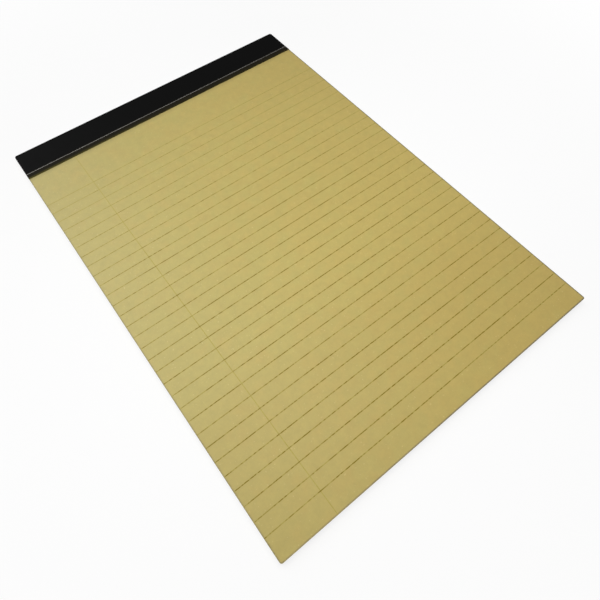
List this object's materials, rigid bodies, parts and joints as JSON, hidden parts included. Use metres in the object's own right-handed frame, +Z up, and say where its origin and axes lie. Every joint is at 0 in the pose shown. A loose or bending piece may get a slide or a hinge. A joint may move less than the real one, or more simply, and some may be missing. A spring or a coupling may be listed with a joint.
{
  "type": "legal pad",
  "caption": "A4 legal pad: yellow ruled sheets with a margin line on a grey backing board, bound at the head by a black paper band with a thin pale line.",
  "frame": {"origin": "middle of the underside, on the surface that the pad lies on", "axes": "+X to the right across the page as it is read, +Y along the page towards the bound head, +Z up out of the ruled face"},
  "size_m": [0.21, 0.297, 0.0049],
  "materials": {
    "yellow_paper": "uncoated, matt",
    "olive_ink": "flat printed line",
    "grey_board": "raw recycled board",
    "black_paper": "printed, satin",
    "pale_ink": "flat printed line",
    "steel_wire": "drawn, galvanised"
  },
  "bodies": {
    "root": {"ruled_sheets": "yellow_paper", "page_ruling": "olive_ink", "backing_board": "grey_board", "header_band": "black_paper", "header_line": "pale_ink", "staples": "steel_wire"}
  },
  "joints": []
}
